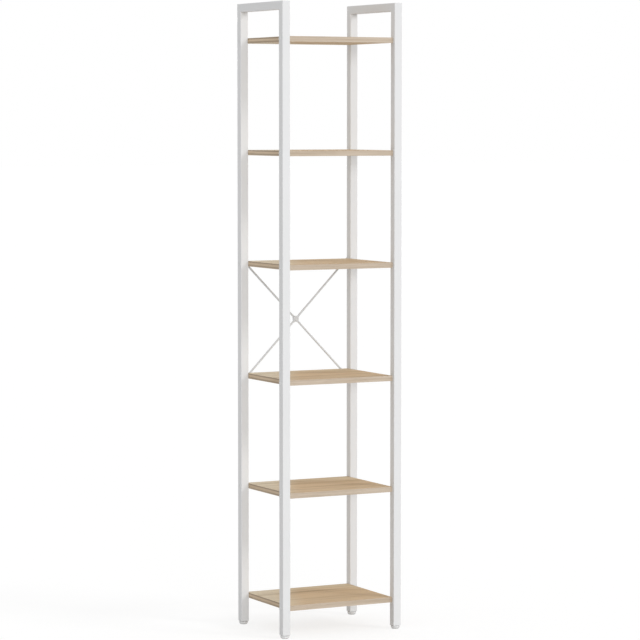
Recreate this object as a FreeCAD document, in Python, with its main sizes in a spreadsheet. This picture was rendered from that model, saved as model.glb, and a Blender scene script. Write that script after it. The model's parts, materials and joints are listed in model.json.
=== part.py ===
import FreeCAD, Part

import math
import os
import re

import Sketcher

# Open bookcase: two side frames of square steel tube, boards bolted between them, a crossed brace
# of flattened rods behind the middle bay and four levelling feet.
# X runs along the boards, the front faces -Y, Z is up from the floor, and the origin lies on the
# floor in the middle of the whole outline. All lengths are millimetres.

SIZES = {
    # side frames
    "frame_width": 400,  # over the outer faces of the posts
    "frame_depth": 308,  # over the front and rear faces of the posts
    "frame_height": 1890,  # floor to the top of the rails
    "tube_size": 25,  # square tube, outside
    "tube_wall": 1.2,
    "tube_corner": 2.0,  # outside corner radius of the tube
    "tube_inside_corner": 0.8,
    # boards
    "board_thickness": 16,
    "board_front_setback": 10,  # front face of the posts to the front edge of the boards
    "board_rear_setback": 7,  # rear face of the posts to the rear edge of the boards
    "lowest_board_top": 97,  # floor to the top of the lowest board
    "top_board_drop": 103,  # top of the rails down to the top of the highest board
    "brace_bay_extra": 5,  # by which the bay with the brace is taller than the others
    # board bolts and the barrel nuts that take them
    "bolt_diameter": 5,
    "bolt_head_diameter": 11,
    "bolt_head_height": 1.5,
    "bolt_head_round": 0.8,
    "bolt_socket": 3,  # across the flats of the hexagon
    "bolt_socket_depth": 2.5,
    "bolt_past_barrel": 6,  # bolt's tip past the axis of the barrel nut
    "bolt_hole_clearance": 0.5,  # on the diameter, in the walls of the posts
    "board_bore_clearance": 1.0,  # on the diameter, in the ends of the boards
    "board_bore_spare": 3,  # bore past the bolt's tip
    "barrel_diameter": 8,
    "barrel_length": 12,
    "barrel_clearance": 0.2,  # on the diameter, in the boards
    "barrel_from_end": 22,  # end of the board to the axis of the barrel nut
    "thread_clearance": 0.1,  # on the diameter, between a screw thread and its nut
    # feet
    "pad_height": 8.8,
    "pad_rim_diameter": 27,
    "pad_base_diameter": 20,
    "pad_taper_height": 4.5,  # floor to the upright rim
    "pad_rim_round": 1.0,
    "pad_taper_round": 4.0,  # from the taper to the upright rim
    "pad_base_round": 1.0,
    "pad_floor": 2.5,  # plastic under the stud
    "pad_neck_diameter": 15,  # raised neck that meets the plug
    "pad_neck_height": 1.2,
    "stud_diameter": 8,
    "stud_length": 34,  # above the lower end of the post
    "stud_chamfer": 1.0,
    "stud_flange_diameter": 11,  # flange that keeps the stud in the pad
    "stud_flange_height": 2,
    "stud_clearance": 0.1,  # on the diameter, in the pad, the plug and the nut
    "plug_length": 24,
    "plug_corner_relief": 0.6,  # plug's corner radius beyond the tube's inside corner
    "nut_flats": 13,
    "nut_height": 6.5,
    "nut_pocket_clearance": 0.2,  # across the flats
    # brace
    "rod_diameter": 6,
    "flat_thickness": 3.1,  # of a rod's eyes
    "flat_run_out": 5,  # length over which a rod thins to its flat
    "flat_margin": 1,  # flat past the edge of an eye
    "web_end": 1,  # thickness of an eye's web where it runs out on the rod
    "web_edge": 0.15,  # by which the web still stands out there on each side of the rod
    "eye_diameter": 18,  # eyes where the rods cross
    "eye_fillet": 8,  # hollow curve from a rod into its eye
    "end_eye_diameter": 13,
    "end_eye_fillet": 8,
    "brace_upper_rise": 9,  # top of the board above the brace up to the upper end holes
    "brace_lower_drop": 33,  # top of the board below the brace down to the lower end holes
    "brace_hole_clearance": 0.3,  # on the diameter, round the rivet and the end screws
    "rivet_diameter": 5,
    "rivet_head_diameter": 10,
    "rivet_head_height": 1.2,
    "rivet_head_round": 0.8,
    "screw_diameter": 5,
    "screw_length": 12,  # under the head
    "screw_head_diameter": 9,
    "screw_head_height": 2.8,
    "screw_head_round": 1.6,
    "screw_socket": 3,  # across the flats of the hexagon
    "screw_socket_depth": 1.6,
    "rivet_nut_diameter": 7,
    "rivet_nut_length": 11,  # inside the outer face of the post's wall
    "rivet_nut_flange_diameter": 9.6,
    "rivet_nut_flange": 0.8,  # thickness of the flange outside the post
    "rivet_nut_clearance": 0.2,  # on the diameter, in the wall of the post
}
BOARDS = 6
BRACE_BAY = 3  # the brace spans the bay above this board, counted from the floor
SIDES = {"left": -1, "right": 1}
ENDS = {"front": -1, "rear": 1}


def board_top(number):
    """Height of a board's top face above the floor, for boards counted from 1 at the floor."""
    bays = number - 1
    pitch = f"((frame_height - top_board_drop - lowest_board_top - brace_bay_extra) / {BOARDS - 1})"
    return f"(lowest_board_top + {bays} * {pitch} + {int(bays >= BRACE_BAY)} * brace_bay_extra)"


def board_middle(number):
    return f"({board_top(number)} - board_thickness / 2)"


# Places that several pieces share, as expressions of the sizes
POST_X = "((frame_width - tube_size) / 2)"
POST_Y = "((frame_depth - tube_size) / 2)"
TUBE_BOTTOM = "(pad_height + pad_neck_height)"
BOARD_END = "(frame_width / 2 - tube_size)"
BARREL_X = f"({BOARD_END} - barrel_from_end)"
BOLT_Y = {-1: f"(board_front_setback / 2 - {POST_Y})", 1: f"({POST_Y} - board_rear_setback / 2)"}
BRACE_TOP = f"({board_top(BRACE_BAY + 1)} + brace_upper_rise)"
BRACE_BOTTOM = f"({board_top(BRACE_BAY)} - brace_lower_drop)"
BRACE_RISE = f"({BRACE_TOP} - {BRACE_BOTTOM})"
BRACE_MIDDLE = f"(({BRACE_TOP} + {BRACE_BOTTOM}) / 2)"
BRACE_LENGTH = f"sqrt({BRACE_RISE}^2 + (2 * {POST_X})^2)"
BRACE_PLANE = "(frame_depth / 2 + rivet_nut_flange + flat_thickness)"  # where the eyes lie together
FRONT_REACH = "max(0; (pad_rim_diameter - tube_size) / 2)"  # of the feet past the posts
REAR_REACH = f"({BRACE_PLANE} - frame_depth / 2 + max(flat_thickness + rivet_head_height; screw_head_height))"
FRAME_Y = f"(({FRONT_REACH} - {REAR_REACH}) / 2)"  # middle of the posts, from the origin

START, END, CENTRE = range(1, 4)  # points of a sketch's lines, arcs and circles
H_AXIS, V_AXIS = range(-1, -3, -1)  # a sketch's own axes

# Turns that lay a piece's own Z axis along another axis
UPRIGHT = FreeCAD.Rotation()
ACROSS = {side: FreeCAD.Rotation(FreeCAD.Vector(0, 1, 0), -90 * side) for side in SIDES.values()}
FORWARD = FreeCAD.Rotation(FreeCAD.Vector(1, 0, 0), 90)

doc = FreeCAD.newDocument("bookcase")
sheet = doc.addObject("Spreadsheet::Sheet", "sizes")
for row, (alias, number) in enumerate(SIZES.items(), start=1):
    sheet.set(f"A{row}", alias)
    sheet.set(f"B{row}", str(number))
    sheet.setAlias(f"B{row}", alias)
doc.recompute()

nodes = []  # the sub-parts that are written out


def linked(expression):
    """The expression with each size named as a cell of the sheet."""
    return re.sub(r"[a-z]+(_[a-z]+)+", lambda word: "sizes." + word.group(), expression)


def size(expression):
    """The expression's present value."""
    return float(sheet.evalExpression(linked(expression)))


def bind(thing, path, expression):
    thing.setExpression(path, linked(expression))


def place(thing, x, y, z):
    for axis, expression in zip("xyz", (x, y, z)):
        bind(thing, "Placement.Base." + axis, expression)


def new_body(label, x="0", y="0", z="0"):
    body = doc.addObject("PartDesign::Body", label)
    body.Label = label
    place(body, x, y, z)
    return body


def new_sketch(body, role, offset="0"):
    """A sketch on one of the body's origin planes, moved along the plane's normal by the offset."""
    plane = next(feature for feature in body.Origin.OriginFeatures if feature.Role == role)
    sketch = body.newObject("Sketcher::SketchObject", body.Name + "_sketch")
    sketch.AttachmentSupport = [(plane, "")]
    sketch.MapMode = "FlatFace"
    bind(sketch, "AttachmentOffset.Base.z", offset)
    return sketch


def fix(sketch, kind, *where, expression):
    """Adds a dimension to the sketch and binds it to the sizes."""
    index = sketch.addConstraint(Sketcher.Constraint(kind, *where, size(expression)))
    bind(sketch, f"Constraints[{index}]", expression)


def locate(sketch, item, point, x, y):
    """Ties a point of the sketch to its place from the sketch's origin."""
    for kind, axis, expression in (("DistanceX", V_AXIS, x), ("DistanceY", H_AXIS, y)):
        if expression == "0":
            sketch.addConstraint(Sketcher.Constraint("PointOnObject", item, point, axis))
        else:
            fix(sketch, kind, H_AXIS, START, item, point, expression=expression)


def circle(sketch, x, y, diameter):
    centre = FreeCAD.Vector(size(x), size(y), 0)
    ring = sketch.addGeometry(Part.Circle(centre, FreeCAD.Vector(0, 0, 1), size(diameter) / 2))
    locate(sketch, ring, CENTRE, x, y)
    fix(sketch, "Diameter", ring, expression=diameter)


def polygon(sketch, corners):
    points = [FreeCAD.Vector(size(x), size(y), 0) for x, y in corners]
    first = sketch.GeometryCount
    sketch.addGeometry([Part.LineSegment(a, b) for a, b in zip(points, points[1:] + points[:1])])
    for n, (x, y) in enumerate(corners):
        before = first + (n - 1) % len(corners)
        sketch.addConstraint(Sketcher.Constraint("Coincident", before, END, first + n, START))
        locate(sketch, first + n, START, x, y)


def hexagon(sketch, flats):
    """A hexagon about the sketch's origin, given by its width across the flats."""
    half, edge = f"({flats} / 2)", f"({flats} / 2 / sqrt(3))"
    right = [("0", f"-2 * {edge}"), (half, f"-{edge}"), (half, edge)]
    left = [("0", f"2 * {edge}"), (f"-{half}", edge), (f"-{half}", f"-{edge}")]
    polygon(sketch, right + left)


def rounded_square(sketch, side, corner):
    """A square with rounded corners about the sketch's origin."""
    half, radius = size(side) / 2, size(corner)
    flat = half - radius
    first = sketch.GeometryCount
    outward = [(0, -1), (1, 0), (0, 1), (-1, 0)]  # of each side in turn, counterclockwise
    for n, (x, y) in enumerate(outward):
        out, along = FreeCAD.Vector(x, y, 0), FreeCAD.Vector(-y, x, 0)
        sketch.addGeometry(Part.LineSegment(out * half - along * flat, out * half + along * flat))
        ring = Part.Circle(out * flat + along * flat, FreeCAD.Vector(0, 0, 1), radius)
        sketch.addGeometry(Part.ArcOfCircle(ring, (n - 1) * math.pi / 2, n * math.pi / 2))
    for n, (x, y) in enumerate(outward):
        line, arc = first + 2 * n, first + 2 * n + 1
        next_line = first + 2 * ((n + 1) % len(outward))
        sketch.addConstraint(Sketcher.Constraint("Tangent", line, END, arc, START))
        sketch.addConstraint(Sketcher.Constraint("Tangent", arc, END, next_line, START))
        sketch.addConstraint(Sketcher.Constraint("Vertical" if x else "Horizontal", line))
        if n:
            sketch.addConstraint(Sketcher.Constraint("Equal", first + 1, arc))
        kind = "DistanceX" if x else "DistanceY"
        fix(sketch, kind, H_AXIS, START, line, START, expression=f"{x + y} * ({side}) / 2")
    fix(sketch, "Radius", first + 1, expression=corner)


def extrude(body, kind, sketch, length=None, both_sides=False, reverse=False):
    """Pads or pockets a sketch. Without a length it goes through all that lies on its side."""
    before = body.Shape.Volume if body.Tip else 0
    feature = body.newObject("PartDesign::" + kind, f"{body.Name}_{kind.lower()}")
    feature.Profile = sketch
    feature.SideType = "Symmetric" if both_sides else "One side"
    feature.Reversed = reverse
    if length is None:
        feature.Type = "ThroughAll"
    else:
        bind(feature, "Length", length)
    doc.recompute()
    grown = body.Shape.Volume - before
    if (kind == "Pad") != (grown > 0):
        raise RuntimeError(f"{feature.Name} changed the volume by {grown}")


def revolve(body, corners):
    """Turns an outline of radius and height about the body's Z axis."""
    sketch = new_sketch(body, "XZ_Plane")
    polygon(sketch, corners)
    feature = body.newObject("PartDesign::Revolution", body.Name + "_revolution")
    feature.Profile = sketch
    feature.ReferenceAxis = (sketch, ["V_Axis"])
    feature.Angle = 360
    doc.recompute()


def round_rim(body, radius, diameter, height):
    """Fillets the circular edge of the given diameter at the given height in the body."""
    base = body.Tip
    rims = []
    for n, edge in enumerate(base.Shape.Edges, start=1):
        ring = edge.Curve
        if isinstance(ring, Part.Circle) and math.isclose(2 * ring.Radius, size(diameter), abs_tol=1e-6):
            if math.isclose(ring.Center.z, size(height), abs_tol=1e-6):
                rims.append(f"Edge{n}")
    fillet = body.newObject("PartDesign::Fillet", body.Name + "_fillet")
    fillet.Base = (base, rims)
    bind(fillet, "Radius", radius)
    doc.recompute()


def group(label, piece, turns_and_places):
    """One node of several like solids: links to a piece, each with a turn and a place."""
    members = []
    for n, (turn, x, y, z) in enumerate(turns_and_places, start=1):
        member = doc.addObject("App::Link", f"{label}_{n}")
        member.LinkedObject = piece
        member.Placement = FreeCAD.Placement(FreeCAD.Vector(), turn)
        place(member, x, y, z)
        members.append(member)
    compound = doc.addObject("Part::Compound", label)
    compound.Label = label
    compound.Links = members
    nodes.append(compound)


def tube_section(sketch):
    rounded_square(sketch, "tube_size", "tube_corner")
    rounded_square(sketch, "tube_size - 2 * tube_wall", "tube_inside_corner")


def make_post(label, side, end):
    """A post with a 45 degree mitre at its top. side is -1 left or 1 right, end is -1 front or 1 rear."""
    post = new_body(label, f"{side} * {POST_X}", f"{FRAME_Y} + {end} * {POST_Y}", TUBE_BOTTOM)
    length = f"(frame_height - {TUBE_BOTTOM})"
    section = new_sketch(post, "XY_Plane")
    tube_section(section)
    extrude(post, "Pad", section, length)

    # the mitre falls from the outer face to the inner one, and its cutter passes both by a tube
    mitre = new_sketch(post, "YZ_Plane")
    outer, inner = f"{1.5 * end} * tube_size", f"{-1.5 * end} * tube_size"
    high, low = f"{length} + tube_size", f"{length} - 2 * tube_size"
    polygon(mitre, [(outer, high), (inner, high), (inner, low)])
    extrude(post, "Pocket", mitre, both_sides=True)

    bolt_holes = new_sketch(post, "YZ_Plane")
    for number in range(1, BOARDS + 1):
        y, z = f"{BOLT_Y[end]} - {end} * {POST_Y}", f"{board_middle(number)} - {TUBE_BOTTOM}"
        circle(bolt_holes, y, z, "bolt_diameter + bolt_hole_clearance")
    extrude(post, "Pocket", bolt_holes, both_sides=True)

    if end == ENDS["rear"]:
        brace_holes = new_sketch(post, "XZ_Plane")
        for z in (BRACE_TOP, BRACE_BOTTOM):
            circle(brace_holes, "0", f"{z} - {TUBE_BOTTOM}", "rivet_nut_diameter + rivet_nut_clearance")
        extrude(post, "Pocket", brace_holes)
    nodes.append(post)


def make_rail(label, side):
    """A top rail from the front post to the rear one, mitred at both ends."""
    rail = new_body(label, f"{side} * {POST_X}", FRAME_Y, "frame_height - tube_size / 2")
    section = new_sketch(rail, "XZ_Plane")
    tube_section(section)
    extrude(rail, "Pad", section, "frame_depth", both_sides=True)
    mitres = new_sketch(rail, "YZ_Plane")
    low, high = "-1.5 * tube_size", "1.5 * tube_size"
    for end in ENDS.values():
        tip, root = f"{end} * (frame_depth / 2 + tube_size)", f"{end} * (frame_depth / 2 - 2 * tube_size)"
        polygon(mitres, [(tip, low), (tip, high), (root, low)])
    extrude(rail, "Pocket", mitres, both_sides=True)
    nodes.append(rail)


def make_board(number):
    board = new_body(f"shelf_{number}", "0", FRAME_Y, f"{board_top(number)} - board_thickness")
    outline = new_sketch(board, "XY_Plane")
    front, rear = "board_front_setback - frame_depth / 2", "frame_depth / 2 - board_rear_setback"
    left, right = f"-{BOARD_END}", BOARD_END
    polygon(outline, [(left, front), (right, front), (right, rear), (left, rear)])
    extrude(board, "Pad", outline, "board_thickness")

    for side in SIDES.values():
        bolt_bores = new_sketch(board, "YZ_Plane", f"{side} * {BOARD_END}")
        for y in BOLT_Y.values():
            circle(bolt_bores, y, "board_thickness / 2", "bolt_diameter + board_bore_clearance")
        depth = "barrel_from_end + bolt_past_barrel + board_bore_spare"
        extrude(board, "Pocket", bolt_bores, depth, reverse=side == SIDES["left"])

    # the barrel nuts go in from the underside
    barrel_bores = new_sketch(board, "XY_Plane")
    for side in SIDES.values():
        for y in BOLT_Y.values():
            circle(barrel_bores, f"{side} * {BARREL_X}", y, "barrel_diameter + barrel_clearance")
    extrude(board, "Pocket", barrel_bores, "(board_thickness + barrel_length) / 2", reverse=True)
    nodes.append(board)


def make_screw(label, kind, tip):
    """A screw along +Z with its head's underside at Z 0. kind begins the names of its sizes."""
    screw = new_body(label)
    head, shank, top = f"{kind}_head_diameter / 2", f"{kind}_diameter / 2", f"-{kind}_head_height"
    revolve(screw, [("0", top), (head, top), (head, "0"), (shank, "0"), (shank, tip), ("0", tip)])
    round_rim(screw, f"{kind}_head_round", f"{kind}_head_diameter", top)
    socket = new_sketch(screw, "XY_Plane", top)
    hexagon(socket, f"{kind}_socket")
    extrude(screw, "Pocket", socket, f"{kind}_socket_depth", reverse=True)
    return screw


def make_barrel_nut():
    """A barrel nut along Z, threaded across along X."""
    barrel = new_body("barrel_nut")
    outline = new_sketch(barrel, "XY_Plane")
    circle(outline, "0", "0", "barrel_diameter")
    extrude(barrel, "Pad", outline, "barrel_length", both_sides=True)
    thread = new_sketch(barrel, "YZ_Plane")
    circle(thread, "0", "0", "bolt_diameter + thread_clearance")
    extrude(barrel, "Pocket", thread, both_sides=True)
    return barrel


def make_foot_pad(label, x, y):
    pad = new_body(label, x, y, "0")
    base, rim, neck = "pad_base_diameter / 2", "pad_rim_diameter / 2", "pad_neck_diameter / 2"
    bore, pocket = "(stud_diameter + stud_clearance) / 2", "(stud_flange_diameter + stud_clearance) / 2"
    pocket_top = "pad_floor + stud_flange_height + stud_clearance"
    outside = [("0", "0"), (base, "0"), (rim, "pad_taper_height"), (rim, "pad_height"), (neck, "pad_height")]
    inside = [(bore, pocket_top), (pocket, pocket_top), (pocket, "pad_floor"), ("0", "pad_floor")]
    revolve(pad, outside + [(neck, TUBE_BOTTOM), (bore, TUBE_BOTTOM)] + inside)
    round_rim(pad, "pad_rim_round", "pad_rim_diameter", "pad_height")
    round_rim(pad, "pad_taper_round", "pad_rim_diameter", "pad_taper_height")
    round_rim(pad, "pad_base_round", "pad_base_diameter", "0")
    nodes.append(pad)


def make_foot_stud(label, x, y):
    stud = new_body(label, x, y, "0")
    flange, shank, tip = "stud_flange_diameter / 2", "stud_diameter / 2", f"({TUBE_BOTTOM} + stud_length)"
    flange_top = "pad_floor + stud_flange_height"
    below = [("0", "pad_floor"), (flange, "pad_floor"), (flange, flange_top), (shank, flange_top)]
    above = [(shank, f"{tip} - stud_chamfer"), (f"{shank} - stud_chamfer", tip), ("0", tip)]
    revolve(stud, below + above)
    nodes.append(stud)


def make_tube_plug(label, x, y):
    """The plug in the lower end of a post: the stud passes it into a nut let into its top."""
    plug = new_body(label, x, y, TUBE_BOTTOM)
    section = new_sketch(plug, "XY_Plane")
    rounded_square(section, "tube_size - 2 * tube_wall", "tube_inside_corner + plug_corner_relief")
    circle(section, "0", "0", "stud_diameter + stud_clearance")
    extrude(plug, "Pad", section, "plug_length")
    seat = new_sketch(plug, "XY_Plane", "plug_length")
    hexagon(seat, "(nut_flats + nut_pocket_clearance)")
    extrude(plug, "Pocket", seat, "nut_height")
    nodes.append(plug)


def make_foot_nut():
    nut = new_body("foot_nut")
    outline = new_sketch(nut, "XY_Plane")
    hexagon(outline, "nut_flats")
    circle(outline, "0", "0", "stud_diameter + stud_clearance")
    extrude(nut, "Pad", outline, "nut_height")
    return nut


def flatten(rod, x, eye, side):
    """Cuts away the half of the rod on one side in Y about an eye at x, with sloped run-outs."""
    run = f"({eye} / 2 + flat_margin)"
    slope = "2 * flat_run_out"  # the cutter is a whole rod deep, twice what it takes away
    reach = f"{side} * rod_diameter"
    cut = new_sketch(rod, "XY_Plane")
    left, right = f"{x} - {run}", f"{x} + {run}"
    polygon(cut, [(f"{left} - {slope}", reach), (left, "0"), (right, "0"), (f"{right} + {slope}", reach)])
    extrude(rod, "Pocket", cut, both_sides=True)


def flat_eye(rod, x, kind, sides, rear):
    """A flat eye at x on the rod's axis, with hollow curves into the rod on the given sides of it.

    kind begins the names of its sizes; rear puts the eye behind the axis instead of in front."""
    mid = f"(rod_diameter / 2 + web_edge + {kind}_fillet)"  # height of a hollow curve's centre above the axis
    span = f"({kind}_diameter / 2 + {kind}_fillet)"  # from the eye's centre to a hollow curve's centre
    run = f"sqrt({span}^2 - {mid}^2)"
    shoulder = f"({kind}_diameter / 2 * {mid} / {span})"  # where a hollow curve meets the eye
    out = 1 if rear else -1
    face = f"{out} * flat_thickness"
    for side in sides:
        near, far = f"{x} + {side} * {kind}_diameter / 2", f"{x} + {side} * {run}"
        web = new_sketch(rod, "XY_Plane")
        polygon(web, [(x, "0"), (far, "0"), (far, f"{out} * web_end"), (near, face), (x, face)])
        extrude(rod, "Pad", web, f"2 * {shoulder}", both_sides=True)
        hollows = new_sketch(rod, "XZ_Plane")
        for up in (-1, 1):
            circle(hollows, far, f"{up} * {mid}", f"2 * {kind}_fillet")
        extrude(rod, "Pocket", hollows, both_sides=True)
    disc = new_sketch(rod, "XZ_Plane")
    circle(disc, x, "0", f"{kind}_diameter")
    extrude(rod, "Pad", disc, "flat_thickness", reverse=rear)


def make_brace_rod(label, fall, rear):
    """A rod of the brace. fall is 1 falling or -1 rising to the right; rear is for the rod behind."""
    rod = new_body(label, "0", f"{FRAME_Y} + {BRACE_PLANE}", BRACE_MIDDLE)
    rod.Placement.Rotation = FreeCAD.Rotation(FreeCAD.Vector(0, 1, 0), 1)
    bind(rod, "Placement.Rotation.Angle", f"{fall} * atan2({BRACE_RISE}; 2 * {POST_X})")
    section = new_sketch(rod, "YZ_Plane")
    circle(section, "0", "0", "rod_diameter")
    extrude(rod, "Pad", section, BRACE_LENGTH, both_sides=True)
    ends = {side: f"{side} * {BRACE_LENGTH} / 2" for side in SIDES.values()}
    flatten(rod, "0", "eye_diameter", -1 if rear else 1)
    flat_eye(rod, "0", "eye", ends, rear)
    for side, x in ends.items():
        flatten(rod, x, "end_eye_diameter", 1)
        flat_eye(rod, x, "end_eye", [-side], False)
    holes = new_sketch(rod, "XZ_Plane")
    circle(holes, "0", "0", "rivet_diameter + brace_hole_clearance")
    for x in ends.values():
        circle(holes, x, "0", "screw_diameter + brace_hole_clearance")
    extrude(rod, "Pocket", holes, both_sides=True)
    nodes.append(rod)


def make_brace_rivet():
    rivet = new_body("brace_rivet", "0", f"{FRAME_Y} + {BRACE_PLANE}", BRACE_MIDDLE)
    rivet.Placement.Rotation = FORWARD
    head, shank = "rivet_head_diameter / 2", "rivet_diameter / 2"
    eye, end = "flat_thickness", "(flat_thickness + rivet_head_height)"
    lower = [("0", f"-{end}"), (head, f"-{end}"), (head, f"-{eye}"), (shank, f"-{eye}")]
    revolve(rivet, lower + [(shank, eye), (head, eye), (head, end), ("0", end)])
    for face in (end, f"-{end}"):
        round_rim(rivet, "rivet_head_round", "rivet_head_diameter", face)
    nodes.append(rivet)


def make_rivet_nut():
    """A rivet nut along +Z, with its flange below Z 0 and its sleeve above."""
    nut = new_body("rivet_nut")
    bore, sleeve = "(screw_diameter + thread_clearance) / 2", "rivet_nut_diameter / 2"
    flange, face, tip = "rivet_nut_flange_diameter / 2", "-rivet_nut_flange", "rivet_nut_length"
    revolve(nut, [(bore, face), (flange, face), (flange, "0"), (sleeve, "0"), (sleeve, tip), (bore, tip)])
    return nut


posts = [(f"{front_or_rear}_{left_or_right}", SIDES[left_or_right], ENDS[front_or_rear])
         for front_or_rear in ENDS for left_or_right in SIDES]
for corner, side, end in posts:
    make_post(corner + "_post", side, end)
for name, side in SIDES.items():
    make_rail(name + "_top_rail", side)

board_bolt = make_screw("board_bolt", "bolt", "(tube_size + barrel_from_end + bolt_past_barrel)")
barrel_nut = make_barrel_nut()
for number in range(1, BOARDS + 1):
    make_board(number)
    bolts, barrels = [], []
    for side in SIDES.values():
        for y in BOLT_Y.values():
            y_and_z = (f"{FRAME_Y} + {y}", board_middle(number))
            bolts.append((ACROSS[side], f"{side} * frame_width / 2", *y_and_z))
            barrels.append((UPRIGHT, f"{side} * {BARREL_X}", *y_and_z))
    group(f"shelf_{number}_bolts", board_bolt, bolts)
    group(f"shelf_{number}_barrel_nuts", barrel_nut, barrels)

nuts = []
for corner, side, end in posts:
    x, y = f"{side} * {POST_X}", f"{FRAME_Y} + {end} * {POST_Y}"
    make_foot_pad(corner + "_foot_pad", x, y)
    make_foot_stud(corner + "_foot_stud", x, y)
    make_tube_plug(corner + "_tube_plug", x, y)
    nuts.append((UPRIGHT, x, y, f"{TUBE_BOTTOM} + plug_length - nut_height"))
group("foot_nuts", make_foot_nut(), nuts)

make_brace_rod("brace_rod_rising", -1, rear=False)
make_brace_rod("brace_rod_falling", 1, rear=True)
make_brace_rivet()
screws, rivet_nuts = [], []
for side in SIDES.values():
    for z in (BRACE_TOP, BRACE_BOTTOM):
        screws.append((FORWARD, f"{side} * {POST_X}", f"{FRAME_Y} + {BRACE_PLANE}", z))
        rivet_nuts.append((FORWARD, f"{side} * {POST_X}", f"{FRAME_Y} + frame_depth / 2", z))
group("brace_screws", make_screw("brace_screw", "screw", "screw_length"), screws)
group("brace_rivet_nuts", make_rivet_nut(), rivet_nuts)

doc.recompute()
faulty = [thing.Name for thing in doc.Objects if {"Invalid", "Error"} & set(thing.State)]
if faulty:
    raise RuntimeError("not built: " + ", ".join(faulty))
for node in nodes:
    if node.Shape.isNull() or not node.Shape.isValid():
        raise RuntimeError("no valid shape: " + node.Label)

os.makedirs("parts", exist_ok=True)
for node in nodes:
    node.Shape.exportStep(os.path.join("parts", node.Label + ".step"))
print(len(nodes), "nodes,", sum(len(node.Shape.Solids) for node in nodes), "solids")
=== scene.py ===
import json
import math

import bpy
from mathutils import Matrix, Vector


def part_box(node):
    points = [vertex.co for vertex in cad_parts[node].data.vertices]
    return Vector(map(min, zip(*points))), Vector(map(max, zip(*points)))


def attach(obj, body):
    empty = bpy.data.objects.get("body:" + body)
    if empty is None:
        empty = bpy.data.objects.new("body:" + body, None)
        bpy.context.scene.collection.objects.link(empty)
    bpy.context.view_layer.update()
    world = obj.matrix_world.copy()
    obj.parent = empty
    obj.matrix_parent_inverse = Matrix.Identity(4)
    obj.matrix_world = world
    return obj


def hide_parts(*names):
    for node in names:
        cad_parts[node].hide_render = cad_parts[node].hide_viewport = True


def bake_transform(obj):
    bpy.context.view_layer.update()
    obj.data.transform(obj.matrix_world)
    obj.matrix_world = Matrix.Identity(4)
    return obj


MM = 0.001

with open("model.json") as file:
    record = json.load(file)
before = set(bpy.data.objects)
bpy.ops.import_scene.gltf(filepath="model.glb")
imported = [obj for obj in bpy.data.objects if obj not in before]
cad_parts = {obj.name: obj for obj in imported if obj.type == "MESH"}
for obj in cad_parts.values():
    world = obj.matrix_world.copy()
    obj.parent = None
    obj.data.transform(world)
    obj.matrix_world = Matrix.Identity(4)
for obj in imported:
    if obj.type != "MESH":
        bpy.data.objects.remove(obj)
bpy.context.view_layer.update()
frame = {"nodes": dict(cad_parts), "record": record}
nodes = frame["nodes"]
slot_of = {part["node"]: part["material_slot"] for part in frame["record"]["subparts"]}
boards = [name for name in nodes if slot_of[name] == "oak_board"]
studs = [name for name in nodes if name.endswith("_foot_stud")]
pads = [name for name in nodes if name.endswith("_foot_pad")]

# Node tree helpers

# A Mix node's sockets by number, because those of its data types share their names
MIX_VECTORS = (4, 5)
MIX_VECTOR_RESULT = 1
MIX_COLOURS = (6, 7)
MIX_COLOUR_RESULT = 2

EDGE_SAMPLES = 6
EDGE_COSINE = 0.8  # between the true normal and the softened one, where an edge counts in full


def add(tree, kind, inputs=None, **properties):
    """Adds a shader node. Inputs are given by name or number, each a value or a socket to link."""
    node = tree.nodes.new("ShaderNode" + kind)
    for name, value in properties.items():
        setattr(node, name, value)
    for key, value in (inputs or {}).items():
        if isinstance(value, bpy.types.NodeSocket):
            tree.links.new(value, node.inputs[key])
        else:
            node.inputs[key].default_value = value
    return node


def maths(tree, operation, *values):
    return add(tree, "Math", dict(enumerate(values)), operation=operation).outputs[0]


def noise(tree, place, scale, detail=2.0, roughness=0.5):
    inputs = {"Vector": place, "Scale": scale, "Detail": detail, "Roughness": roughness}
    return add(tree, "TexNoise", inputs).outputs["Fac"]


def drawn_noise(tree, place, scales, detail=2.0, roughness=0.5):
    """Noise with a scale of its own on each axis, drawn out along the one with the smallest scale."""
    stretched = add(tree, "VectorMath", {0: place, 1: scales}, operation="MULTIPLY").outputs[0]
    return noise(tree, stretched, 1.0, detail, roughness)


def ramp(tree, value, *stops):
    """A colour ramp; each stop is a position and a grey level or a colour."""
    node = add(tree, "ValToRGB", {"Fac": value})
    elements = node.color_ramp.elements
    while len(elements) < len(stops):
        elements.new(0.5)
    for element, (position, colour) in zip(elements, stops):
        element.position = position
        red, green, blue = colour if isinstance(colour, tuple) else (colour, colour, colour)
        element.color = (red, green, blue, 1.0)
    return node.outputs["Color"]


def spread(tree, value, low, high, start=0.0, end=1.0):
    """Goes from low to high while the value goes from start to end, and no further."""
    inputs = {"Value": value, "From Min": start, "From Max": end, "To Min": low, "To Max": high}
    return add(tree, "MapRange", inputs).outputs["Result"]


def blend(tree, kind, amount, below, above):
    """Mixes two colours by the given blend type."""
    node = add(tree, "Mix", {"Factor": amount}, data_type="RGBA", blend_type=kind)
    for key, value in zip(MIX_COLOURS, (below, above)):
        if isinstance(value, bpy.types.NodeSocket):
            tree.links.new(value, node.inputs[key])
        else:
            node.inputs[key].default_value = (*value, 1.0)
    return node.outputs[MIX_COLOUR_RESULT]


def bumps(tree, height, strength, distance):
    inputs = {"Height": height, "Strength": strength, "Distance": distance}
    return add(tree, "Bump", inputs).outputs["Normal"]


def edges(tree, radius):
    """0 on flat faces, rising to 1 on edges that are sharper than the radius."""
    soft = add(tree, "Bevel", {"Radius": radius}, samples=EDGE_SAMPLES).outputs["Normal"]
    flat = add(tree, "NewGeometry").outputs["Normal"]
    cosine = add(tree, "VectorMath", {0: soft, 1: flat}, operation="DOT_PRODUCT").outputs["Value"]
    return spread(tree, cosine, 1.0, 0.0, start=EDGE_COSINE, end=1.0)


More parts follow.
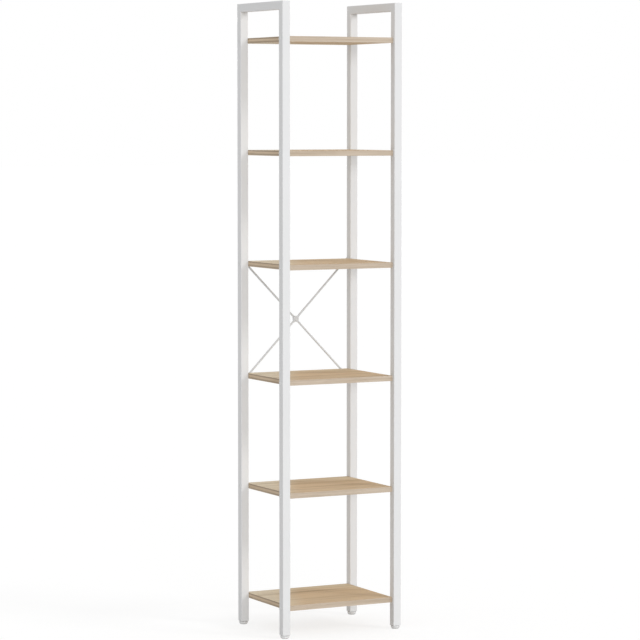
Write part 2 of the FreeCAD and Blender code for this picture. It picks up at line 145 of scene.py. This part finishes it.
def edge_wear_and_highlight(tree, colour, radius, amount, bare):
    """The colour, which gives way to the given edge colour on edges by the amount; on the coats that lighter
    edge is a painted highlight as well as wear, on the boards it is wear.
    """
    return blend(tree, "MIX", maths(tree, "MULTIPLY", edges(tree, radius), amount), colour, bare)


def new_material(name):
    material = bpy.data.materials.new(name)
    material.use_nodes = True
    tree = material.node_tree
    tree.nodes.clear()
    return material, tree


def principled(tree, colour, roughness, normal, specular=0.5, metallic=0.0):
    inputs = {"Base Color": colour, "Roughness": roughness, "Normal": normal}
    levels = {"Specular IOR Level": specular, "Metallic": metallic}
    shader = add(tree, "BsdfPrincipled", {**inputs, **levels})
    add(tree, "OutputMaterial", {"Surface": shader.outputs["BSDF"]})


# Materials

FACING = 0.6  # part of a normal that lies along an axis, from which a face counts as turned that way


def powder_coat(name, tint, gloss):
    """Satin powder coat on steel: orange peel, faint clouding, and brighter arrises, which are a painted
    highlight as well as thinner coat.
    """
    material, tree = new_material(name)
    place = add(tree, "TexCoord").outputs["Object"]
    clouds = noise(tree, place, scale=7.0, detail=3.0)
    dull = tuple(0.975 * level for level in tint)
    shade = ramp(tree, clouds, (0.3, dull), (0.7, tint))
    # painted highlight: the arrises are made lighter, together with their wear
    colour = edge_wear_and_highlight(tree, shade, radius=0.8 * MM, amount=0.35, bare=(0.88, 0.88, 0.87))
    peel = noise(tree, place, scale=620.0, roughness=0.55)
    fine = noise(tree, place, scale=2600.0, detail=1.0)
    height = maths(tree, "ADD", peel, maths(tree, "MULTIPLY", fine, 0.25))
    roughness = spread(tree, noise(tree, place, scale=60.0), gloss - 0.05, gloss + 0.05)
    normal = bumps(tree, height, strength=0.22, distance=0.06 * MM)
    principled(tree, colour, roughness, normal, specular=0.42)
    return material


def oak(name):
    """Oak-look laminate. Faces have warm bands along X with a dark heart line; edge bands are paler."""
    material, tree = new_material(name)
    coordinates = add(tree, "TexCoord")
    place = coordinates.outputs["Object"]
    facing = add(tree, "SeparateXYZ", {0: coordinates.outputs["Normal"]})
    is_end = maths(tree, "GREATER_THAN", maths(tree, "ABSOLUTE", facing.outputs["X"]), FACING)
    is_face = maths(tree, "GREATER_THAN", maths(tree, "ABSOLUTE", facing.outputs["Z"]), FACING)
    part = add(tree, "SeparateXYZ", {0: place})
    x, y, z = (part.outputs[axis] for axis in "XYZ")

    # grain runs along X, but along Y on the two ends
    turned = add(tree, "CombineXYZ", {"X": y, "Y": z, "Z": x}).outputs[0]
    either = {"Factor": is_end, MIX_VECTORS[0]: place, MIX_VECTORS[1]: turned}
    grain = add(tree, "Mix", either, data_type="VECTOR").outputs[MIX_VECTOR_RESULT]
    wander = drawn_noise(tree, grain, (2.2, 9.0, 9.0))

    # the heart line bows towards the front on both sides of the middle
    bow = maths(tree, "MULTIPLY", maths(tree, "MULTIPLY", x, x), 1.6)
    across = maths(tree, "ADD", maths(tree, "ADD", y, bow), spread(tree, wander, -0.05, 0.05))
    bands = ramp(tree, spread(tree, across, 0.0, 1.0, start=-0.16, end=0.2),
                 (0.0, (0.685, 0.512, 0.324)), (0.34, (0.680, 0.497, 0.305)), (0.55, (0.655, 0.474, 0.285)),
                 (0.63, (0.580, 0.414, 0.247)), (0.70, (0.660, 0.489, 0.300)), (0.86, (0.680, 0.539, 0.357)))

    # paler and greyer towards the rear left corner
    corner = maths(tree, "SUBTRACT", x, maths(tree, "MULTIPLY", y, 0.45))
    ragged = maths(tree, "ADD", corner, spread(tree, wander, -0.05, 0.05))
    paler_rear_left = spread(tree, ragged, 0.85, 0.0, start=-0.15, end=-0.06)
    bands = blend(tree, "MIX", paler_rear_left, bands, (0.760, 0.660, 0.500))

    # broad and fine streaks
    broad = drawn_noise(tree, grain, (2.5, 38.0, 38.0))
    bands = blend(tree, "MULTIPLY", 1.0, bands, ramp(tree, broad, (0.32, (0.82, 0.79, 0.75)), (0.52, 1.02)))
    streaks = drawn_noise(tree, grain, (5.0, 130.0, 130.0), detail=4.0, roughness=0.6)
    face = blend(tree, "MULTIPLY", 1.0, bands, ramp(tree, streaks, (0.30, 0.92), (0.68, 1.118)))

    # paler bands round the edges
    band_tone = drawn_noise(tree, grain, (3.5, 110.0, 190.0), detail=3.0, roughness=0.55)
    edge = ramp(tree, band_tone, (0.30, (0.484, 0.391, 0.294)), (0.50, (0.567, 0.470, 0.369)),
                (0.70, (0.614, 0.521, 0.421)))

    # two dark lines along each end, under the upper arris and above the lower one
    rise = add(tree, "SeparateXYZ", {0: coordinates.outputs["Generated"]}).outputs["Z"]
    lines = ramp(tree, maths(tree, "ADD", rise, spread(tree, wander, -0.12, 0.12)),
                 (0.0, (1.10, 1.05, 0.97)), (0.24, (0.74, 0.69, 0.63)), (0.42, (1.22, 1.17, 1.08)),
                 (0.68, (1.28, 1.22, 1.12)), (0.84, (0.66, 0.61, 0.55)), (0.98, (0.98, 0.94, 0.88)))
    edge = blend(tree, "MULTIPLY", is_end, edge, lines)
    tone = blend(tree, "MIX", is_face, edge, face)

    # short dark pores and fine fibres
    pores = drawn_noise(tree, grain, (45.0, 1500.0, 1500.0), detail=1.0)
    pore_mask = spread(tree, pores, 0.0, 1.0, start=0.64, end=0.74)
    fibres = drawn_noise(tree, grain, (18.0, 900.0, 900.0), detail=3.0, roughness=0.65)
    tone = blend(tree, "MULTIPLY", 1.0, tone, ramp(tree, fibres, (0.32, 0.93), (0.66, 1.04)))
    tone = blend(tree, "MULTIPLY", maths(tree, "MULTIPLY", pore_mask, 0.5), tone, (0.62, 0.54, 0.46))
    tone = edge_wear_and_highlight(tree, tone, radius=0.8 * MM, amount=0.25, bare=(0.62, 0.52, 0.40))

    roughness = spread(tree, streaks, 0.56, 0.70)
    height = maths(tree, "SUBTRACT", maths(tree, "MULTIPLY", fibres, 0.5), pore_mask)
    normal = bumps(tree, height, strength=0.25, distance=0.08 * MM)
    principled(tree, tone, roughness, normal, specular=0.14)
    return material


def zinc(name):
    """Zinc plate: bright grey with a faint spangle."""
    material, tree = new_material(name)
    place = add(tree, "TexCoord").outputs["Object"]
    spangle = noise(tree, place, scale=900.0, detail=3.0, roughness=0.6)
    colour = ramp(tree, spangle, (0.35, (0.52, 0.525, 0.54)), (0.65, (0.68, 0.685, 0.70)))
    roughness = spread(tree, noise(tree, place, scale=300.0), 0.26, 0.42)
    normal = bumps(tree, spangle, strength=0.15, distance=0.05 * MM)
    principled(tree, colour, roughness, normal, metallic=1.0)
    return material


def brace_coat(name):
    """Thin pale grey coat on steel rod: faintly clouded and gritty, lighter on the edges, which is a painted
    highlight as well as wear.
    """
    material, tree = new_material(name)
    place = add(tree, "TexCoord").outputs["Object"]
    clouds = noise(tree, place, scale=55.0, detail=3.0)
    shade = ramp(tree, clouds, (0.3, (0.675, 0.690, 0.708)), (0.7, (0.722, 0.738, 0.757)))
    # painted highlight: lighter edges, together with their wear
    colour = edge_wear_and_highlight(tree, shade, radius=0.4 * MM, amount=0.3, bare=(0.76, 0.76, 0.76))
    grit = noise(tree, place, scale=1400.0)
    roughness = spread(tree, grit, 0.34, 0.48)
    normal = bumps(tree, grit, strength=0.18, distance=0.05 * MM)
    principled(tree, colour, roughness, normal, specular=0.5)
    return material


def moulded(name):
    """Matt white moulded plastic, slightly scuffed, and greyer where it meets the floor, which is painted
    shade broken up by the scuffs.
    """
    material, tree = new_material(name)
    place = add(tree, "TexCoord").outputs["Object"]
    height = add(tree, "SeparateXYZ", {0: place}).outputs["Z"]
    near_floor = spread(tree, height, 1.0, 0.0, start=0.5 * MM, end=4.0 * MM)
    scuffs = noise(tree, place, scale=180.0, detail=4.0, roughness=0.6)
    # painted shade at the foot of the pad, patchy with the scuffs
    shade_and_scuffs_near_floor = maths(tree, "MULTIPLY", near_floor, spread(tree, scuffs, 0.2, 0.9))
    clouds = noise(tree, place, scale=40.0)
    shade = ramp(tree, clouds, (0.3, (0.755, 0.755, 0.75)), (0.7, (0.795, 0.795, 0.79)))
    colour = blend(tree, "MIX", shade_and_scuffs_near_floor, shade, (0.55, 0.545, 0.535))
    grit = noise(tree, place, scale=1900.0)
    roughness = spread(tree, scuffs, 0.42, 0.60)
    normal = bumps(tree, grit, strength=0.2, distance=0.05 * MM)
    principled(tree, colour, roughness, normal, specular=0.45)
    return material


finishes = {
    "white_powder_coat": powder_coat("white_powder_coat_finish", tint=(0.772, 0.775, 0.779), gloss=0.42),
    "white_bolt": powder_coat("white_bolt_finish", tint=(0.767, 0.77, 0.774), gloss=0.36),
    "oak_board": oak("oak_board_finish"),
    "zinc_steel": zinc("zinc_steel_finish"),
    "brace_steel": brace_coat("brace_steel_finish"),
    "white_plastic": moulded("white_plastic_finish"),
}
for name, piece in nodes.items():
    for slot in piece.material_slots:
        slot.material = finishes[slot_of[name]]

# Broken arrises on the boards

WELD_DISTANCE = 0.001 * MM
ARRIS_WIDTH = 0.5 * MM
ARRIS_SEGMENTS = 2
ARRIS_ANGLE = 60  # degrees between two faces from which their edge is an arris

for name in boards:
    weld = nodes[name].modifiers.new("join_faces", "WELD")
    weld.merge_threshold = WELD_DISTANCE
    arris = nodes[name].modifiers.new("arris", "BEVEL")
    arris.width = ARRIS_WIDTH
    arris.segments = ARRIS_SEGMENTS
    arris.limit_method = "ANGLE"
    arris.angle_limit = math.radians(ARRIS_ANGLE)
    arris.harden_normals = True

# Studs with their thread cut, which shows when a foot is screwed out

STUD_RADIUS = 4.0 * MM
FLANGE_HEIGHT = 2.0 * MM
TIP_CHAMFER = 1.0 * MM
THREAD_PITCH = 1.25 * MM
THREAD_DEPTH = 0.61 * THREAD_PITCH
ROOT_FLAT = 1 / 4  # width of the groove's flat bottom, in turns
CREST_FLAT = 1 / 8  # width of the ridge's flat top, in turns
HIDDEN_SHANK = 0.5 * MM  # thread that lies in the pad's neck
AROUND = 32  # points round a stud
ROWS_PER_TURN = 12
SHARP_ANGLE = 35  # degrees between two faces from which their edge looks sharp


def add_mesh(name, points, faces, material):
    """A mesh with its points in the row frame."""
    mesh = bpy.data.meshes.new(name)
    mesh.from_pydata(points, [], faces)
    mesh.materials.append(material)
    piece = bpy.data.objects.new(name, mesh)
    bpy.context.scene.collection.objects.link(piece)
    return piece


def groove(turns):
    """Share of the thread's depth that is cut away, at a place counted in turns along the stud."""
    from_root = abs(turns % 1.0 - 0.5)
    flank = (1.0 - ROOT_FLAT - CREST_FLAT) / 2
    return 1.0 - min(max((from_root - ROOT_FLAT / 2) / flank, 0.0), 1.0)


def stud_rows(low, high, thread_start):
    """Height, largest radius and thread depth of each row of points, from the flange up to the tip."""
    flange_radius = (high.x - low.x) / 2
    flange_top = low.z + FLANGE_HEIGHT
    rows = [(low.z, flange_radius, 0.0), (flange_top, flange_radius, 0.0), (flange_top, STUD_RADIUS, 0.0)]
    count = round((high.z - thread_start) / THREAD_PITCH * ROWS_PER_TURN)
    for n in range(count + 1):
        height = thread_start + (high.z - thread_start) * n / count
        radius = STUD_RADIUS - max(0.0, height - (high.z - TIP_CHAMFER))
        rows.append((height, radius, THREAD_DEPTH * min(1.0, n / ROWS_PER_TURN)))
    return rows


def add_threaded_stud(node):
    """A stud with its thread, in the place of the node's plain one."""
    low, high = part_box(node)
    neck_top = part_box(node.replace("_stud", "_pad"))[1].z
    middle = (low + high) / 2
    points = []
    for height, radius, depth in stud_rows(low, high, neck_top - HIDDEN_SHANK):
        for n in range(AROUND):
            cut = STUD_RADIUS - depth * groove(height / THREAD_PITCH - n / AROUND)
            reach = min(radius, cut) if depth else radius
            angle = 2 * math.pi * n / AROUND
            points.append((middle.x + reach * math.cos(angle), middle.y + reach * math.sin(angle), height))
    last_row = len(points) - AROUND
    faces = [tuple(reversed(range(AROUND))), tuple(range(last_row, len(points)))]
    for row in range(0, last_row, AROUND):
        for n in range(AROUND):
            here = row + n
            there = row + (n + 1) % AROUND
            faces.append((here, there, there + AROUND, here + AROUND))
    stud = add_mesh(node + "_threaded", points, faces, finishes["zinc_steel"])
    stud.data.shade_smooth()
    stud.data.set_sharp_from_angle(angle=math.radians(SHARP_ANGLE))
    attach(stud, node.replace("_foot_stud", "_stud"))
    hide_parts(node)


for name in studs:
    add_threaded_stud(name)

# Floor, light and background

FLOOR_BOUNCE = 0.72  # share of light that the floor throws back on the object
FLOOR_GLOW = 0.77  # how bright the floor looks where no light falls on it
FLOOR_SHADE = 0.29  # what full light adds to that, so that the object's shadow shows
AMBIENT = 0.65  # even light on the object from all round


def grey(level):
    return (level, level, level, 1.0)


def seen_directly(tree):
    """1 for what the camera sees, also in a mirror or through glass, and 0 for bounced light."""
    path = add(tree, "LightPath")
    seen = maths(tree, "MAXIMUM", path.outputs["Is Camera Ray"], path.outputs["Is Glossy Ray"])
    return maths(tree, "MAXIMUM", seen, path.outputs["Is Transmission Ray"])


material, tree = new_material("studio_floor")
bounce = add(tree, "BsdfDiffuse", {"Color": grey(FLOOR_BOUNCE)})
glow = add(tree, "Emission", {"Color": grey(1.0), "Strength": FLOOR_GLOW})
shaded = add(tree, "BsdfDiffuse", {"Color": grey(FLOOR_SHADE)})
both = add(tree, "AddShader", {0: glow.outputs[0], 1: shaded.outputs[0]})
mixed = add(tree, "MixShader", {0: seen_directly(tree), 1: bounce.outputs[0], 2: both.outputs[0]})
add(tree, "OutputMaterial", {"Surface": mixed.outputs[0]})

# A foot that is screwed out still stands on the floor: a square of it goes down with the foot, and slopes
# lead from there up to the rest
FLOOR_REACH = 80.0
STAND = 30 * MM  # from a foot's axis to the edge of its square
SLOPE_END = 120 * MM  # from a foot's axis to where the floor is level again
SLOPE_ROWS = 12
WAYS = {"right": (1, 0), "rear": (0, 1), "left": (-1, 0), "front": (0, -1)}
CORNERS = ((-1, -1), (1, -1), (1, 1), (-1, 1))


def add_slope(foot, place, way):
    """The slope on one side of a foot's square."""
    out_x, out_y = WAYS[way]
    out = Vector((out_x, out_y, 0.0))
    along = Vector((-out_y, out_x, 0.0))
    points = []
    for n in range(SLOPE_ROWS + 1):
        reach = STAND + (SLOPE_END - STAND) * n / SLOPE_ROWS
        points += [place + reach * (out - along), place + reach * (out + along)]
    faces = [(n, n + 2, n + 3, n + 1) for n in range(0, 2 * SLOPE_ROWS, 2)]
    slope = add_mesh(f"floor_{foot}_{way}", points, faces, material)
    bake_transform(slope)


def floor_lines(low, high):
    """Where the level floor is divided along an axis on which the feet stand at low and at high."""
    return [-FLOOR_REACH, low - SLOPE_END, low + SLOPE_END, high - SLOPE_END, high + SLOPE_END, FLOOR_REACH]


places = {}
for name in pads:
    low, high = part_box(name)
    places[name.replace("_pad", "")] = Vector(((low.x + high.x) / 2, (low.y + high.y) / 2, 0.0))
for foot, place in places.items():
    for way in WAYS:
        add_slope(foot, place, way)
    square = [place + STAND * Vector((x, y, 0.0)) for x, y in CORNERS]
    stand = add_mesh("floor_" + foot, square, [(0, 1, 2, 3)], material)
    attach(stand, foot)

# The level floor is a grid with four of its cells left open, one round each foot
front_left = places["front_left_foot"]
rear_right = places["rear_right_foot"]
columns = floor_lines(front_left.x, rear_right.x)
rows = floor_lines(front_left.y, rear_right.y)
count = len(columns)
cells = [(i, j) for j in range(count - 1) for i in range(count - 1) if i % 2 == 0 or j % 2 == 0]
quads = [(j * count + i, j * count + i + 1, (j + 1) * count + i + 1, (j + 1) * count + i) for i, j in cells]
add_mesh("floor", [(x, y, 0.0) for y in rows for x in columns], quads, material)

world = bpy.data.worlds.new("studio")
bpy.context.scene.world = world
world.use_nodes = True
tree = world.node_tree
tree.nodes.clear()
ambient = add(tree, "Background", {"Color": grey(1.0), "Strength": AMBIENT})
white = add(tree, "Background", {"Color": grey(1.0), "Strength": 1.0})
mixed = add(tree, "MixShader", {0: seen_directly(tree), 1: ambient.outputs[0], 2: white.outputs[0]})
add(tree, "OutputWorld", {"Surface": mixed.outputs[0]})


def lamp(name, level, angle, towards):
    """A distant soft lamp; on a white face turned to it, level 1 alone gives full white."""
    light = bpy.data.objects.new(name, bpy.data.lights.new(name, "SUN"))
    light.data.energy = level * math.pi
    light.data.angle = math.radians(angle)
    light.rotation_mode = "QUATERNION"
    light.rotation_quaternion = Vector(towards).to_track_quat("Z", "Y")
    bpy.context.scene.collection.objects.link(light)


lamp("key", level=0.24, angle=15, towards=(0.54, -0.67, 0.51))
lamp("fill", level=0.285, angle=15, towards=(-0.22, -0.97, 0.105))
lamp("back", level=0.20, angle=15, towards=(0.1, 1.0, 0.0))

# Camera

CAMERA_PLACE = (-3.99095, -7.75816, 1.54280)
CAMERA_DOWN = 3.9793  # degrees below level
CAMERA_TURN = -27.2507  # degrees from straight to the rear, negative to the right
CAMERA_LENS = 162.316
SENSOR_WIDTH = 36.0
VIEW_END = 300.0

camera = bpy.data.objects.new("camera", bpy.data.cameras.new("camera"))
camera.data.sensor_width = SENSOR_WIDTH
camera.data.lens = CAMERA_LENS
camera.data.clip_end = VIEW_END
camera.location = CAMERA_PLACE
camera.rotation_euler = (math.radians(90 - CAMERA_DOWN), 0.0, math.radians(CAMERA_TURN))
bpy.context.scene.collection.objects.link(camera)
bpy.context.scene.camera = camera

bpy.context.scene.view_settings.view_transform = "Standard"
